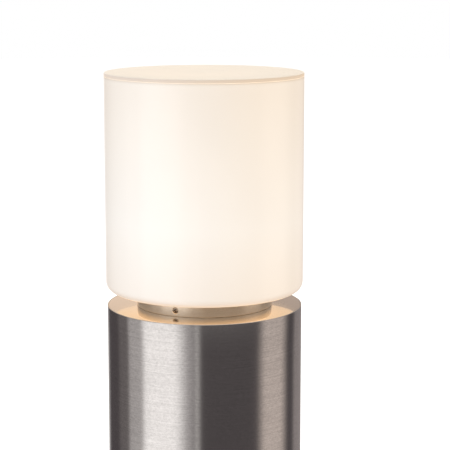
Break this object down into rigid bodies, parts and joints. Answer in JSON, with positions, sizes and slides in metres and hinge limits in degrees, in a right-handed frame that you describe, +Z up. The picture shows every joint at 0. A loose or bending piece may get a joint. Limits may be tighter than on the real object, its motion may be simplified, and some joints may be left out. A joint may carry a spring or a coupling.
{
  "type": "bollard light",
  "caption": "Low round post in brushed stainless steel with a lit opal drum shade set on a narrow collar above a polished top plate.",
  "frame": {"origin": "centre of the base plate's underside, on the ground", "axes": "+Z up along the post, -Y the front, towards which one clamp screw of the collar faces a little to the left, +X to the front view's right"},
  "size_m": [0.15, 0.15, 0.6],
  "materials": {
    "post_steel": "brushed along the circumference, satin",
    "plate_steel": "polished",
    "collar_steel": "satin",
    "base_steel": "satin",
    "screw_steel": "machined",
    "opal_acrylic": "opal, satin gloss, lit from inside",
    "neck_acrylic": "opal, moulded",
    "silicone": "matte",
    "zinc": "zinc plated",
    "brass": "satin",
    "tinned_copper": "tin plated",
    "nickel": "nickel plated",
    "porcelain": "glazed",
    "box_plastic": "fine texture",
    "block_plastic": "moulded",
    "gland_plastic": "moulded",
    "earth_insulation": "smooth",
    "cable_sheath": "smooth",
    "black_glass": "gloss",
    "lamp_housing": "satin",
    "lamp_opal": "opal, lit"
  },
  "bodies": {
    "post": {"post_tube": "post_steel", "top_plate": "plate_steel", "base_plate": "base_steel", "base_spigot": "base_steel", "foot_screw_1": "screw_steel", "foot_screw_2": "screw_steel", "foot_screw_3": "screw_steel", "collar": "collar_steel", "shade_gasket": "silicone", "holder_bracket": "zinc", "bracket_stud_1": "zinc", "bracket_stud_2": "zinc", "bracket_nut_1": "zinc", "bracket_nut_2": "zinc", "holder_nipple": "brass", "nipple_nut": "brass", "lampholder_body": "porcelain", "lampholder_shell": "brass", "lampholder_contact": "brass", "gear_tray": "zinc", "tray_screw_1": "zinc", "tray_screw_2": "zinc", "terminal_box": "box_plastic", "box_lid": "box_plastic", "lid_screw_1": "zinc", "lid_screw_2": "zinc", "lid_screw_3": "zinc", "lid_screw_4": "zinc", "box_screw_1": "zinc", "box_screw_2": "zinc", "terminal_block": "block_plastic", "inlet_gland": "gland_plastic", "inlet_gland_nut": "gland_plastic", "outlet_gland": "gland_plastic", "outlet_gland_nut": "gland_plastic", "earth_stud": "zinc", "earth_nut": "brass", "earth_lug_lower": "tinned_copper", "earth_lug_upper": "tinned_copper", "earth_lead": "earth_insulation", "lamp_cable": "cable_sheath"},
    "shade": {"shade_body": "opal_acrylic", "shade_top_disc": "opal_acrylic", "shade_neck_ring": "neck_acrylic"},
    "clamp_1": {"clamp_screw_1": "screw_steel"},
    "clamp_2": {"clamp_screw_2": "screw_steel"},
    "clamp_3": {"clamp_screw_3": "screw_steel"},
    "lamp_cap": {"bulb_cap": "nickel", "bulb_insulator": "black_glass", "bulb_contact": "tinned_copper"},
    "lamp": {"bulb_housing": "lamp_housing", "bulb_globe": "lamp_opal"}
  },
  "joints": [
    {"name": "shade_lift", "type": "slide", "parent": "post", "child": "shade", "axis": [0, 0, 1], "range_m": [0, 0.11]},
    {"name": "clamp_1_back_off", "type": "slide", "parent": "post", "child": "clamp_1", "axis": [-0.4195, -0.9078, 0], "range_m": [0, 0.0025]},
    {"name": "clamp_2_back_off", "type": "slide", "parent": "post", "child": "clamp_2", "axis": [0.9959, 0.0906, 0], "range_m": [0, 0.0025]},
    {"name": "clamp_3_back_off", "type": "slide", "parent": "post", "child": "clamp_3", "axis": [-0.5764, 0.8171, 0], "range_m": [0, 0.0025]},
    {"name": "lamp_rise", "type": "slide", "parent": "post", "child": "lamp_cap", "axis": [0, 0, 1], "range_m": [0, 0.0146]},
    {"name": "lamp_turn", "type": "hinge", "parent": "lamp_cap", "child": "lamp", "pos_m": [0, 0, 0.4718], "axis": [0, 0, 1], "range_deg": [0, 1440]}
  ],
  "couplings": [
    {"joint": "lamp_rise", "follows": "lamp_turn", "m_per_rad": 0.00057757}
  ]
}
